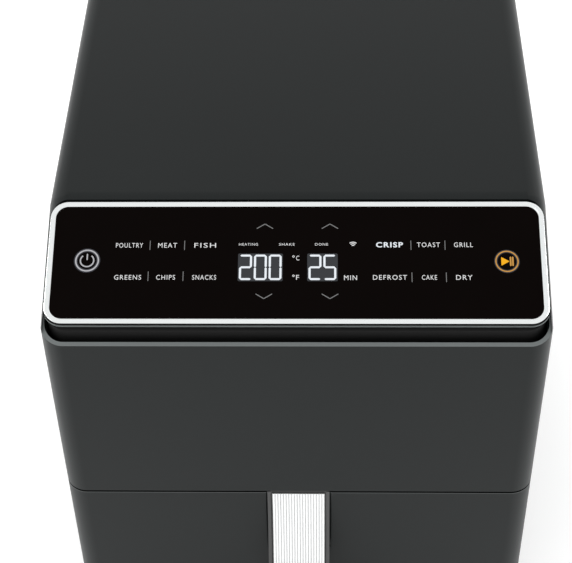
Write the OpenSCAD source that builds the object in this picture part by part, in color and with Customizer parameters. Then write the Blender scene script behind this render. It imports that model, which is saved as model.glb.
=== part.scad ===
// Basket air fryer with a sloped touch panel.
// Millimetres, +Z up, the front faces -Y. The origin is on the table under the middle of the
// whole object, handle included.

/* [Body] */
// Width of the housing
body_w = 296; // [280:1:320]
// Depth of the housing, without the handle
body_d = 345; // [335:1:370]
// Height of the housing, feet included
body_h = 315; // [310:1:330]
// Thickness of the moulded walls
wall = 3; // [2:0.5:4]
// Radius of the upright front corners
front_r = 14; // [10:1:20]
// Radius of the upright back corners
back_r = 30; // [20:1:40]
// Radius along the sides of the top
top_r = 12; // [8:1:16]
// Height of the parting line between housing and drawer
seam_z = 138.5; // [134:0.5:142]
// Depth of the seat that the control panel sits in
seat_depth = 8.5; // [4:0.5:10]

/* [Control panel] */
// Tilt of the panel, in degrees
panel_tilt = 21.2; // [18:0.1:24]
// Outer width of the metal frame
panel_w = 290; // [280:1:292]
// Outer length of the metal frame, up the slope
panel_l = 77.8; // [70:0.1:80]
// Outer corner radius of the metal frame
panel_r = 10.5; // [8:0.5:14]
// Width of the metal frame's face
frame_w = 3; // [2:0.5:5]
// Height of the frame's lower edge
panel_z = 285.3; // [284:0.1:290]
// Distance of the frame's lower edge behind the front face
panel_y = 6.9; // [5:0.1:9]
// Thickness of the metal frame
frame_t = 1; // [0.8:0.1:1.6]

/* [Handle] */
// How far the handle reaches out of the drawer front
handle_reach = 49; // [44:1:54]
// Width of the handle
handle_w = 39.4; // [34:0.2:46]
// Radius of the handle's curved face
handle_r = 190; // [170:5:220]
// Thickness of the handle bar
handle_t = 12; // [10:1:14]
// Slope of the face where it leaves the drawer, in degrees from upright
handle_a0 = 6; // [4:1:10]
// Number of ribs on the metal face
rib_count = 19; // [15:2:23]

/* [Basket] */
// Outer width of the basket
basket_w = 240; // [230:1:244]
// Outer depth of the basket
basket_d = 250; // [240:1:250]
// Height of the basket
basket_h = 88; // [80:1:90]
// Sheet thickness of the basket
basket_t = 1.5; // [1:0.5:2]

/* [Hidden] */
$fn = 48;
eps = 0.01;
far = 400;

front_y = (handle_reach - body_d) / 2;
back_y = front_y + body_d;
half_w = body_w / 2;
foot_h = 8;
foot_r = 13;
foot_in = 40;
base_top = 20;
base_inset = 5;
part_gap = 0.8;
side_start = 22;
cover_d = 32;
seat_gap = 0.8;
skirt_gap = 5.6;
skirt_side = 4;
lip_t = 2.4;
skirt_end = 77;
flange_t = 2.2;
flange_out = 0.7;

liner_y0 = front_y + 26;
liner_y1 = liner_y0 + 261.2;
liner_w = 262.4;
liner_t = 1.2;
liner_z0 = 24.8;
liner_z1 = 153.2;
lintel_z = 133;
chamber_y = (liner_y0 + liner_y1) / 2;
basket_y0 = front_y + 31;
basket_y1 = basket_y0 + basket_d;
basket_z0 = 44;
basket_z1 = basket_z0 + basket_h;
basket_r = 24;
rim_w = 6;
rim_t = 1.5;
rail_gap = 0.3;

dome_r = 112;
dome_z1 = 192;
dome_t = 1.2;
shield_t = 1.2;
shield_z = dome_z1 + shield_t;
shaft_r = 3;
run_gap = 0.05;
rotor_r = 17;
stator_z = 210;
stator_h = 24;
tube_r = 3.3;
heater_z = 160;
low_heater_z = 35;
coil_r0 = 66;
coil_r1 = 88;
coil_gap = 20;

plate_z = 50;
plate_t = 1.6;
plate_gap = 0.3;
bumper_h = plate_z - basket_z0 - basket_t - plate_gap;

tip_r = handle_t / 2 + 0.2;
tip_c = handle_r + handle_t / 2;
handle_a1 = acos((handle_r * cos(handle_a0) + tip_r - handle_reach) / tip_c);
handle_cy = front_y - handle_r * cos(handle_a0);
handle_cz = seam_z - part_gap / 2 + handle_r * sin(handle_a0);
trim_w = 35;
trim_t = 1.4;
rib_h = 0.7;

switch_x = 80;
switch_z = 118;
plunger_r = 2;
gland_z = 60;
gland_x = -95;
gland_bore = 3.6;
duct_w = 84;
duct_z0 = 96;
duct_z1 = 142;
screw_spots = [[-118, 40], [118, 40], [-118, 150], [118, 150], [-118, 290], [118, 290]];
base_spots = [[-138, front_y + 75], [138, front_y + 75], [-138, 20], [138, 20],
    [-138, back_y - 75], [138, back_y - 75]];
lug_z = 24;

// ---- Shared outlines ----

// Rectangle from y0 to y1, centred on X, with rounded front and back corners
module plan(w, y0, y1, rf, rb) {
    translate([-w / 2, y0 + rf]) square([w, y1 - y0 - rf - rb]);
    translate([-w / 2 + rf, y0]) square([w - 2 * rf, rf + 1]);
    translate([-w / 2 + rb, y1 - rb - 1]) square([w - 2 * rb, rb + 1]);
    for (s = [-1, 1]) {
        translate([s * (w / 2 - rf), y0 + rf]) circle(rf);
        translate([s * (w / 2 - rb), y1 - rb]) circle(rb);
    }
}

module round_slab(w, l, r, t) {
    linear_extrude(t) plan(w, 0, l, r, r);
}

// Rectangle with rounded upper corners, its top edge on the X axis
module arch(w, h, r) {
    translate([-w / 2, -h]) square([w, h - r]);
    translate([-w / 2 + r, -h]) square([w - 2 * r, h]);
    for (s = [-1, 1]) translate([s * (w / 2 - r), -r]) circle(r);
}

// Children drawn in the panel's own frame: Y up the slope, Z out of the face
module on_panel() {
    translate([0, front_y + panel_y, panel_z]) rotate([panel_tilt, 0, 0]) children();
}

// Housing volume, taken in by an inset on every side but the bottom
module body_volume(inset) {
    w = body_w - 2 * inset;
    r = top_r - inset;
    intersection() {
        translate([0, 0, -1]) linear_extrude(body_h - inset + 1)
            plan(w, front_y + inset, back_y - inset, front_r - inset, back_r - inset);
        translate([0, far, body_h - inset]) rotate([90, 0, 0]) linear_extrude(2 * far)
            arch(w, body_h + 2, r);
        // the roof slopes down to the front at the panel's tilt
        on_panel() translate([0, 1.2 * far, -inset]) rotate([90, 0, 0])
            linear_extrude(2.2 * far) arch(w, 1.5 * far, r);
    }
}

module body_shell() {
    difference() {
        body_volume(0);
        body_volume(wall);
    }
}

module screw(length, r = 1.7, head_r = 3.4, head_h = 2) {
    cylinder(h = length + eps, r = r);
    difference() {
        translate([0, 0, length]) cylinder(h = head_h, r = head_r);
        translate([-head_r * 0.6, -0.4, length + head_h - 0.9])
            cube([head_r * 1.2, 0.8, 1]);
        translate([-0.4, -head_r * 0.6, length + head_h - 0.9])
            cube([0.8, head_r * 1.2, 1]);
    }
}

// ---- Housing ----

module outer_shell() {
    color([0.16, 0.16, 0.17]) difference() {
        union() {
            body_shell();
            // lugs for the base's screws
            for (p = base_spots)
                translate([p[0] > 0 ? p[0] - 6 : -half_w + 1, p[1] - 6, lug_z])
                    cube([half_w - abs(p[0]) + 5, 12, 6]);
            // bosses for the back cover's screws
            for (p = screw_spots)
                translate([p[0], back_y - cover_d - 6, p[1]]) rotate([-90, 0, 0])
                    cylinder(h = 6, r = 5);
            for (p = screw_spots)
                translate([p[0] > 0 ? p[0] : -half_w + 1, back_y - cover_d - 6, p[1] - 2])
                    cube([half_w - abs(p[0]) - 1, 6, 4]);
        }
        // under the table line and behind the back cover's parting line
        translate([-far / 2, -far / 2, -1]) cube([far, far, base_top + 1]);
        translate([-far / 2, back_y - cover_d, -1]) cube([far, far, far]);
        // drawer opening, wrapped round both front corners
        translate([-far / 2, front_y - 1, -1])
            cube([far, side_start + 1, seam_z + part_gap / 2 + 1]);
        // sloped seat of the control panel, and room under it for the panel's skirt
        on_panel() translate([0, 0, -seat_depth]) linear_extrude(40)
            plan(panel_w + 2 * flange_out + 2 * seat_gap, -60, panel_l + flange_out + seat_gap,
                1, panel_r + flange_out + seat_gap);
        intersection() {
            linear_extrude(body_h + 5) plan(body_w - 2 * lip_t, front_y + lip_t,
                front_y + skirt_end + 1.8, front_r - lip_t, 7);
            on_panel() translate([-far / 2, -far / 2, -14]) cube([far, far, 60]);
        }
        for (p = base_spots)
            translate([p[0], p[1], lug_z - 1]) cylinder(h = 5.5, r = 1.75);
        for (p = screw_spots)
            translate([p[0], back_y - cover_d + eps, p[1]]) rotate([90, 0, 0])
                cylinder(h = 5, r = 1.75);
    }
}

module vent_row(x0, z, count, pitch, w, h) {
    for (i = [0 : count - 1])
        translate([x0 + i * pitch - w / 2, back_y - wall - 1, z]) cube([w, wall + 2, h]);
}

module rear_cover() {
    color([0.15, 0.15, 0.16]) difference() {
        union() {
            body_shell();
            for (p = screw_spots)
                translate([p[0], back_y - cover_d + 0.2, p[1]]) rotate([-90, 0, 0])
                    cylinder(h = cover_d - wall, r = 5);
            translate([gland_x, back_y - 11, gland_z]) rotate([-90, 0, 0])
                cylinder(h = 9, r = 11);
        }
        translate([-far / 2, -far / 2, -1]) cube([far, far, base_top + 1]);
        translate([-far / 2, -far, -1]) cube([far, far + back_y - cover_d + 0.2, far + 1]);
        for (p = screw_spots) {
            translate([p[0], back_y - cover_d - 1, p[1]]) rotate([-90, 0, 0])
                cylinder(h = far, r = 1.9);
            translate([p[0], back_y - 12, p[1]]) rotate([-90, 0, 0]) cylinder(h = 20, r = 3.8);
        }
        translate([gland_x, back_y - 20, gland_z]) rotate([-90, 0, 0])
            cylinder(h = 40, r = 6.5);
        // warm air outlet, in front of the duct
        for (i = [0 : 4]) vent_row(-33, duct_z0 + 4 + i * 8, 7, 11, 8, 4.5);
        // cool air intake
        for (i = [0 : 3]) vent_row(-66, 240 + i * 8, 12, 12, 9, 4);
    }
}

module base_pan() {
    color([0.10, 0.10, 0.11]) difference() {
        union() {
            difference() {
                translate([0, 0, foot_h]) linear_extrude(base_top - foot_h)
                    plan(body_w - 2 * base_inset, front_y + base_inset, back_y - base_inset,
                        front_r - 2, back_r - base_inset);
                translate([0, 0, foot_h + wall]) linear_extrude(base_top)
                    plan(body_w - 2 * base_inset - 2 * wall, front_y + base_inset + wall,
                        back_y - base_inset - wall, front_r - 5, back_r - base_inset - wall);
            }
            // posts that carry the cooking chamber
            for (x = [-110, 110], y = [liner_y0 + 20, liner_y1 - 20])
                translate([x, y, foot_h]) cylinder(h = liner_z0 - foot_h, r = 6);
            // bosses that reach the housing
            for (p = base_spots) translate([p[0], p[1], foot_h])
                cylinder(h = lug_z - foot_h, r = 4.5);
        }
        for (p = base_spots) {
            translate([p[0], p[1], foot_h - 1]) cylinder(h = 20, r = 1.9);
            translate([p[0], p[1], foot_h - 1]) cylinder(h = 5, r = 3.8);
        }
        // air slots
        for (i = [-4 : 4])
            translate([i * 14 - 3, chamber_y - 30, foot_h - 1]) cube([6, 60, wall + 2]);
    }
}

module foot(x, y) {
    color([0.06, 0.06, 0.06]) translate([x, y, 0]) {
        cylinder(h = 2, r1 = foot_r - 1.5, r2 = foot_r);
        translate([0, 0, 2 - eps]) cylinder(h = foot_h - 2 + eps, r = foot_r);
    }
}

// ---- Control panel ----

module panel_skirt(inset, top, bottom) {
    intersection() {
        translate([0, 0, panel_z - 50]) linear_extrude(90)
            plan(body_w - 2 * (skirt_side + inset), front_y + skirt_gap + inset,
                front_y + skirt_end - inset, 12 - inset, 6 - inset);
        on_panel() translate([-far / 2, -60, bottom]) cube([far, far / 2, top - bottom]);
    }
}

module panel_housing() {
    top = -frame_t - flange_t;
    color([0.12, 0.12, 0.13]) difference() {
        union() {
            difference() {
                panel_skirt(0, top - 0.6, -24);
                panel_skirt(2, 0, -21.5);
            }
            difference() {
                panel_skirt(1.6, top + 0.1, top - 2.2);
                panel_skirt(3.6, 0, top - 3);
            }
            on_panel() translate([0, -1, top]) round_slab(panel_w + 2 * flange_out,
                panel_l + 1 + flange_out, panel_r + flange_out, flange_t);
            // posts under the control board
            on_panel() for (x = [-124, 124], y = [14, 60]) translate([x, y, -22])
                cylinder(h = 10, r = 3);
            // tabs against the housing's side walls
            for (s = [-1, 1], y = [26, 58])
                translate([s * (half_w - wall - 2.5) - 2.5, front_y + y,
                    panel_z + (y - panel_y) * tan(panel_tilt) - 22]) cube([5, 8, 3]);
        }
        on_panel() translate([0, 7, -8]) round_slab(panel_w - 14, panel_l - 14, 5, 10);
        on_panel() translate([0, frame_w - 0.3, -1.9])
            round_slab(panel_w - 2 * frame_w + 0.6, panel_l - 2 * frame_w + 0.6, panel_r - 2.7, 3);
        // slot for the flat cable
        translate([104, front_y + 47, panel_z - 25]) cube([16, 7, 24]);
    }
}

module panel_frame() {
    color([0.78, 0.79, 0.80]) on_panel() translate([0, 0, -frame_t]) difference() {
        round_slab(panel_w, panel_l, panel_r, frame_t);
        translate([0, frame_w, -1]) round_slab(panel_w - 2 * frame_w, panel_l - 2 * frame_w,
            panel_r - frame_w, 4);
    }
}

module panel_glass() {
    color([0.02, 0.02, 0.02]) on_panel() translate([0, frame_w + 0.1, -1.9])
        round_slab(panel_w - 2 * frame_w - 0.2, panel_l - 2 * frame_w - 0.2,
            panel_r - frame_w - 0.1, 1.4);
}

module display_module() {
    color([0.85, 0.85, 0.82]) on_panel() translate([-38, 24, -10.4]) cube([92, 30, 8.4]);
}

module control_board() {
    color([0.08, 0.28, 0.16]) on_panel() translate([-132, 8, -12])
        cube([264, panel_l - 20, 1.6]);
}

module touch_springs() {
    xs = [-118, -92, -70, -50, 66, 88, 112];
    color([0.75, 0.76, 0.78]) on_panel()
        for (x = xs, y = [28, 50])
            translate([x, y, -10.4]) {
                cylinder(h = 1.2, r = 4);
                translate([0, 0, 1]) cylinder(h = 7.3, r = 2.6);
            }
}

// ---- Cooking chamber ----

module chamber_liner() {
    w = liner_w;
    color([0.62, 0.63, 0.64]) difference() {
        union() {
            translate([-w / 2, liner_y0, liner_z0])
                cube([w, liner_y1 - liner_y0, liner_z1 - liner_z0]);
            // flange against the housing's side walls
            translate([-half_w + wall, liner_y0, liner_z0])
                cube([body_w - 2 * wall, liner_t, liner_z1 - liner_z0 + 12]);
        }
        translate([-w / 2 + liner_t, liner_y0 + liner_t, liner_z0 + liner_t])
            cube([w - 2 * liner_t, liner_y1 - liner_y0 - 2 * liner_t,
                liner_z1 - liner_z0 - 2 * liner_t]);
        translate([-w / 2 + liner_t, liner_y0 - 1, liner_z0 + liner_t])
            cube([w - 2 * liner_t, 10, lintel_z - liner_z0 - liner_t]);
        translate([0, chamber_y, liner_z1 - 5]) cylinder(h = 20, r = dome_r - 6);
        translate([-duct_w / 2 + 2, liner_y1 - 5, duct_z0 + 2])
            cube([duct_w - 4, 10, duct_z1 - duct_z0 - 4]);
        translate([switch_x, liner_y1 - 5, switch_z]) rotate([-90, 0, 0])
            cylinder(h = 10, r = 3);
        for (x = [-15, 15])
            translate([x, liner_y1 - 5, low_heater_z]) rotate([-90, 0, 0])
                cylinder(h = 10, r = tube_r + 0.5);
        translate([60, liner_y1 - 5, switch_z + 20]) rotate([-90, 0, 0])
            cylinder(h = 10, r = 2.2);
    }
}

module dome_ring(r, z, h) {
    translate([0, chamber_y, z]) cylinder(h = h, r = r);
}

module heater_post_holes(z, h, r) {
    translate([0, chamber_y, z]) rotate([0, 0, coil_gap])
        for (c = [coil_r0, coil_r1]) translate([c, -0.8, 0]) cylinder(h = h, r = r);
}

module fan_dome() {
    color([0.66, 0.67, 0.68]) difference() {
        dome_ring(dome_r, liner_z1, dome_z1 - liner_z1);
        dome_ring(dome_r - dome_t, liner_z1 - 1, dome_z1 - liner_z1 - dome_t + 1);
        dome_ring(7, dome_z1 - 5, 10);
        heater_post_holes(dome_z1 - 5, 10, tube_r + 0.6);
    }
}

module heat_shield() {
    color([0.70, 0.71, 0.72]) difference() {
        translate([-136, liner_y0 + 8, dome_z1]) cube([272, 236, shield_t]);
        dome_ring(8, dome_z1 - 5, 10);
        heater_post_holes(dome_z1 - 5, 10, tube_r + 1.2);
    }
}

module insulation(side) {
    x0 = liner_w / 2;
    x1 = half_w - wall - 0.5;
    color([0.90, 0.89, 0.85]) translate([side > 0 ? x0 : -x1, liner_y0 + 20, 40])
        cube([x1 - x0, 215, 100]);
}

module guide_rail(side) {
    x1 = liner_w / 2 - liner_t;
    x0 = basket_w / 2 + 2.5;
    top = basket_z1 - rim_t - rail_gap;
    color([0.60, 0.61, 0.62]) translate([side > 0 ? x0 : -x1, liner_y0 + 4, 0])
        difference() {
            translate([0, 0, top - 8]) cube([x1 - x0, 250, 8]);
            translate([side > 0 ? -1 : 1.2, -1, top - 9]) cube([x1 - x0 - 0.2, 252, 7.8]);
        }
}

// Bent leaf beside the basket wall
module catch_spring(side) {
    x0 = basket_w / 2 + 0.5;
    x1 = liner_w / 2 - liner_t;
    color([0.74, 0.75, 0.76]) mirror([side < 0 ? 1 : 0, 0, 0])
        translate([0, liner_y0 + 24, 96]) linear_extrude(14)
            polygon([[x1 - 0.5, 0], [x1, 0], [x1, 12], [x0 + 0.7, 24], [x0 + 0.7, 28],
                [x1, 40], [x1, 52], [x1 - 0.5, 52], [x1 - 0.5, 40.3], [x0, 28.3],
                [x0, 23.7], [x1 - 0.5, 11.7]]);
}

// ---- Heaters ----

module ring_arc(r, angle, tube = tube_r) {
    rotate_extrude(angle = angle) translate([r, 0]) circle(tube);
}

module upper_heater() {
    color([0.30, 0.29, 0.28]) translate([0, chamber_y, heater_z]) {
        for (r = [coil_r0, coil_r1]) rotate([0, 0, coil_gap]) {
            ring_arc(r, 360 - 2 * coil_gap);
            translate([r, -0.8, -tube_r - 0.4]) cylinder(h = 40, r = tube_r + 0.4);
        }
        rotate([0, 0, -coil_gap]) translate([(coil_r0 + coil_r1) / 2, -0.5, -4])
            cube([coil_r1 - coil_r0 + 8, 5, 8], center = true);
    }
}

module tube_y(x, y0, y1) {
    translate([x, y0, 0]) rotate([-90, 0, 0]) cylinder(h = y1 - y0, r = tube_r);
}

module tube_x(y, x0, x1) {
    translate([x0, y, 0]) rotate([0, 90, 0]) cylinder(h = x1 - x0, r = tube_r);
}

module lower_heater() {
    half = 85;
    bend = 18;
    y0 = chamber_y - 85;
    y1 = chamber_y + 85;
    color([0.30, 0.29, 0.28]) translate([0, 0, low_heater_z]) {
        tube_x(y0, -half + bend, half - bend);
        for (s = [0, 1]) mirror([s, 0, 0]) {
            tube_y(half, y0 + bend, y1 - bend);
            tube_x(y1, 15 + bend, half - bend);
            tube_y(15, y1 + bend, liner_y1 + 12);
            translate([half - bend, y0 + bend, 0]) rotate([0, 0, -90]) ring_arc(bend, 90);
            translate([half - bend, y1 - bend, 0]) ring_arc(bend, 90);
            translate([15 + bend, y1 + bend, 0]) rotate([0, 0, 180]) ring_arc(bend, 90);
        }
    }
}

module heater_clips() {
    z0 = liner_z0 + liner_t;
    color([0.70, 0.70, 0.70]) for (x = [-85, 85], y = [chamber_y - 50, chamber_y + 50])
        translate([x - 6, y - 4, z0]) difference() {
            cube([12, 8, low_heater_z - z0 + 1]);
            translate([6, -1, low_heater_z - z0]) rotate([-90, 0, 0])
                cylinder(h = 10, r = tube_r + 0.1);
        }
}

module heater_guard() {
    color([0.68, 0.69, 0.70]) translate([0, chamber_y, liner_z1 - liner_t - 1.2]) {
        for (r = [18, 38, 58, 78, 98]) difference() {
            cylinder(h = 1.2, r = r + 1.5);
            translate([0, 0, -1]) cylinder(h = 4, r = r - 1.5);
        }
        for (a = [0 : 60 : 300]) rotate([0, 0, a]) translate([17, -1.5, 0]) cube([93, 3, 1.2]);
    }
}

// ---- Motor and fans ----

module motor_bracket() {
    color([0.72, 0.73, 0.74]) translate([0, chamber_y, 0]) difference() {
        union() {
            translate([0, 0, 204]) cylinder(h = 2, r = 44);
            for (a = [45 : 90 : 315]) rotate([0, 0, a]) translate([38, 0, shield_z])
                cylinder(h = 204 - shield_z + 1, r = 4);
            for (a = [30, 150, 210, 330]) rotate([0, 0, a]) translate([36, 0, 205])
                cylinder(h = stator_z - 205, r = 3);
        }
        translate([0, 0, 200]) cylinder(h = 10, r = 8.1);
    }
}

module bush(z, flange_z) {
    color([0.72, 0.56, 0.28]) translate([0, chamber_y, z]) difference() {
        union() {
            cylinder(h = 8, r = 8);
            translate([0, 0, flange_z - z]) cylinder(h = 2, r = 10);
        }
        translate([0, 0, -1]) cylinder(h = 12, r = shaft_r + run_gap);
    }
}

module stator_core() {
    color([0.40, 0.41, 0.43]) translate([0, chamber_y, stator_z]) difference() {
        linear_extrude(stator_h) difference() {
            translate([-42, -40]) square([84, 80]);
            circle(rotor_r + 0.4);
            translate([-24, 24]) square([48, 10]);
            translate([-24, -34]) square([48, 10]);
        }
    }
}

module stator_coil() {
    color([0.70, 0.36, 0.16]) translate([0, chamber_y, stator_z - 3])
        for (s = [-1, 1]) difference() {
            translate([-20, s * 37 - 8, 0]) cube([40, 16, stator_h + 6]);
            translate([-30, s * 37 - 3.2, 2.8]) cube([60, 6.4, stator_h + 0.4]);
        }
}

module top_bracket() {
    z = stator_z + stator_h;
    color([0.72, 0.73, 0.74]) translate([0, chamber_y, z]) difference() {
        union() {
            translate([-42, -12, 6]) cube([84, 24, 2]);
            for (s = [-1, 1]) translate([s * 39 - 3, -12, 0]) cube([6, 24, 7]);
        }
        translate([0, 0, -1]) cylinder(h = 12, r = 8.1);
    }
}

module motor_shaft() {
    color([0.80, 0.81, 0.82]) translate([0, chamber_y, 162]) cylinder(h = 104, r = shaft_r);
}

module rotor_core() {
    color([0.50, 0.51, 0.53]) translate([0, chamber_y, stator_z - 1]) difference() {
        cylinder(h = stator_h + 2, r = rotor_r);
        translate([0, 0, -1]) cylinder(h = stator_h + 5, r = shaft_r + 0.02);
    }
}

module hot_air_fan() {
    color([0.76, 0.77, 0.78]) translate([0, chamber_y, 170]) difference() {
        union() {
            cylinder(h = 12, r = 9);
            translate([0, 0, 10]) cylinder(h = 1.2, r = 58);
            for (a = [0 : 36 : 324]) rotate([0, 0, a]) translate([20, -0.6, 0])
                rotate([0, 0, 12]) cube([36, 1.2, 10.5]);
        }
        translate([0, 0, -1]) cylinder(h = 20, r = shaft_r + 0.02);
    }
}

module fan_nut() {
    color([0.72, 0.72, 0.70]) translate([0, chamber_y, 166]) difference() {
        cylinder(h = 4, r = 6, $fn = 6);
        translate([0, 0, -1]) cylinder(h = 8, r = shaft_r + 0.02);
    }
}

module cooling_fan() {
    color([0.20, 0.20, 0.21]) translate([0, chamber_y, 250]) difference() {
        union() {
            cylinder(h = 14, r = 8);
            cylinder(h = 1.5, r = 34);
            for (a = [0 : 30 : 330]) rotate([0, 0, a]) translate([12, -0.7, 0])
                cube([34, 1.4, 12]);
        }
        translate([0, 0, -1]) cylinder(h = 20, r = shaft_r + 0.02);
    }
}

// ---- Electrics ----

module power_board() {
    color([0.10, 0.30, 0.18]) translate([half_w - wall - 3, chamber_y - 70, 206])
        cube([1.6, 130, 62]);
    color([0.12, 0.12, 0.12]) for (y = [-64, 52])
        translate([half_w - wall - 1.4, chamber_y + y, 212]) cube([1.4, 6, 50]);
}

module board_components() {
    x = half_w - wall - 3;
    color([0.15, 0.15, 0.16]) {
        translate([x - 18, chamber_y - 58, 214]) cube([18, 20, 16]);
        translate([x - 16, chamber_y - 30, 214]) cube([16, 16, 28]);
        translate([x - 22, chamber_y - 4, 218]) cube([22, 26, 22]);
        for (y = [34, 48]) translate([x - 16, chamber_y + y, 226]) rotate([0, 90, 0])
            cylinder(h = 16, r = 5);
        translate([x - 8, chamber_y - 50, 246]) cube([8, 60, 8]);
    }
}

// Flat cable from the control board to the power board
module ribbon_cable() {
    y0 = front_y + 50;
    color([0.80, 0.80, 0.82]) {
        translate([106, y0, 260]) cube([12, 1, 29]);
        translate([106, y0, 260]) cube([12, 53, 1]);
        translate([106, y0 + 41, 260]) cube([half_w - wall - 3 - 106, 12, 1]);
    }
}

module temperature_sensor() {
    color([0.82, 0.82, 0.84]) translate([60, liner_y1 - 12, switch_z + 20])
        rotate([-90, 0, 0]) {
            cylinder(h = 26, r = 2);
            translate([0, 0, 12]) cylinder(h = 2, r = 4.5);
        }
}

module thermal_cutout() {
    color([0.75, 0.74, 0.70]) translate([-70, chamber_y + 20, shield_z]) {
        translate([-10, -6, 0]) cube([20, 12, 1]);
        translate([0, 0, 1 - eps]) cylinder(h = 9, r = 7);
    }
}

module exhaust_duct() {
    color([0.64, 0.65, 0.66]) translate([0, liner_y1, 0]) difference() {
        translate([-duct_w / 2, 0, duct_z0])
            cube([duct_w, back_y - wall - liner_y1, duct_z1 - duct_z0]);
        translate([-duct_w / 2 + 1.2, -1, duct_z0 + 1.2])
            cube([duct_w - 2.4, far, duct_z1 - duct_z0 - 2.4]);
    }
}

module cord_gland() {
    color([0.08, 0.08, 0.08]) translate([gland_x, back_y - 11, gland_z]) rotate([-90, 0, 0])
        difference() {
            union() {
                translate([0, 0, -2]) cylinder(h = 2, r = 9);
                translate([0, 0, -eps]) cylinder(h = 10.5, r = 6.4);
            }
            translate([0, 0, -4]) cylinder(h = 20, r = gland_bore);
        }
}

module basket_switch() {
    color([0.14, 0.14, 0.15]) translate([switch_x, liner_y1, switch_z]) difference() {
        translate([-10, 0, -7]) cube([20, 16, 14]);
        translate([0, -1, 0]) rotate([-90, 0, 0]) cylinder(h = 13, r = plunger_r + 0.06);
    }
}

module switch_plunger() {
    y0 = basket_y1 + 0.3;
    color([0.70, 0.20, 0.16]) translate([switch_x, y0, switch_z]) rotate([-90, 0, 0])
        cylinder(h = liner_y1 + 11 - y0, r = plunger_r);
}

module rear_screws() {
    color([0.25, 0.25, 0.26]) for (p = screw_spots)
        translate([p[0], back_y - cover_d - 4, p[1]]) rotate([-90, 0, 0])
            screw(cover_d + 4 - 12);
}

module base_screws() {
    color([0.25, 0.25, 0.26]) for (p = base_spots)
        translate([p[0], p[1], foot_h + 20]) rotate([180, 0, 0]) screw(16);
}

// ---- Drawer ----

module basket() {
    color([0.10, 0.10, 0.11]) difference() {
        union() {
            translate([0, 0, basket_z0]) linear_extrude(basket_h)
                plan(basket_w, basket_y0, basket_y1, basket_r, basket_r);
            translate([0, 0, basket_z1 - rim_t]) linear_extrude(rim_t)
                plan(basket_w + 2 * rim_w, basket_y0, basket_y1, basket_r, basket_r);
        }
        translate([0, 0, basket_z0 + basket_t]) linear_extrude(basket_h)
            plan(basket_w - 2 * basket_t, basket_y0 + basket_t, basket_y1 - basket_t,
                basket_r - basket_t, basket_r - basket_t);
    }
}

module basket_bracket() {
    color([0.66, 0.67, 0.68]) difference() {
        translate([-55, front_y + 24, 84]) cube([110, basket_y0 - front_y - 24, 40]);
        for (z = [96, 116]) translate([0, front_y + 20, z]) rotate([-90, 0, 0])
            cylinder(h = 20, r = 4.2);
        for (x = [-40, 40]) translate([x - 8, front_y + 20, 92]) cube([16, 20, 24]);
    }
}

module drawer_front() {
    z0 = base_top + part_gap / 2 + 0.2;
    z1 = seam_z - part_gap / 2;
    color([0.16, 0.16, 0.17]) difference() {
        translate([0, 0, z0]) linear_extrude(z1 - z0)
            plan(body_w, front_y, front_y + 2 * side_start, front_r, 1);
        translate([0, 0, z0 + wall]) linear_extrude(z1 - z0 - 2 * wall)
            plan(body_w - 2 * wall, front_y + wall, front_y + 3 * side_start,
                front_r - wall, 1);
        translate([-far / 2, front_y + side_start - part_gap, -1]) cube([far, far, far]);
        // slot that the handle bar passes through
        translate([-handle_w / 2 - 0.2, front_y - 1, 80]) cube([handle_w + 0.4, wall + 1.5, far]);
        translate([-handle_w / 2 - 0.2, front_y - 1, z1 - wall - 1])
            cube([handle_w + 0.4, 13.2, far]);
    }
}

module drawer_back_plate() {
    color([0.12, 0.12, 0.13]) difference() {
        translate([-half_w + wall + 1, front_y + 12, base_top + 5])
            cube([body_w - 2 * wall - 2, 12, seam_z - base_top - 8.6]);
        for (x = [-70, 70]) translate([x - 55, front_y + 11, base_top + 12])
            cube([110, 9, seam_z - base_top - 25]);
        for (z = [96, 116]) translate([0, front_y, z]) rotate([-90, 0, 0])
            cylinder(h = 40, r = 2.1);
    }
}

module front_seal() {
    z0 = liner_z0 + 3;
    h = 106.6;
    color([0.07, 0.07, 0.07]) translate([0, front_y + 24, z0]) rotate([90, 0, 0])
        translate([0, 0, -1.7]) linear_extrude(1.7) difference() {
            plan(276, 0, h, 10, 10);
            plan(264, 6, h - 6, 6, 6);
        }
}

// Children drawn round the axis of the handle's curve, their Z along the machine's X
module about_handle() {
    translate([0, handle_cy, handle_cz]) rotate([0, 90, 0]) children();
}

module disc(r, w) {
    translate([0, 0, -w / 2]) cylinder(h = w, r = r, $fn = 180);
}

module handle_bar() {
    w = handle_w;
    color([0.13, 0.13, 0.14]) difference() {
        union() {
            about_handle() difference() {
                intersection() {
                    disc(handle_r + handle_t, w);
                    translate([0, 0, -w / 2]) linear_extrude(w) polygon([[0, 0],
                        [far * sin(handle_a0), far * cos(handle_a0)],
                        [far * sin(handle_a1), far * cos(handle_a1)]]);
                }
                disc(handle_r, w + 2);
            }
            // rounded lower end
            about_handle() translate([tip_c * sin(handle_a1), tip_c * cos(handle_a1), 0])
                disc(tip_r, w);
            // block behind the drawer front that takes the screws
            translate([-w / 2, front_y + 4, 88])
                cube([w, 8, seam_z - part_gap / 2 - 88 - 0.5]);
        }
        about_handle() disc(handle_r + trim_t + 0.1, trim_w + 0.2);
        translate([-far / 2, front_y + 12, -1]) cube([far, far, far]);
        translate([-far / 2, -far, seam_z - part_gap / 2]) cube([far, 2 * far, far]);
        for (z = [96, 116]) translate([0, front_y + 5, z]) rotate([-90, 0, 0])
            cylinder(h = 10, r = 2.1);
    }
}

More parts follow.
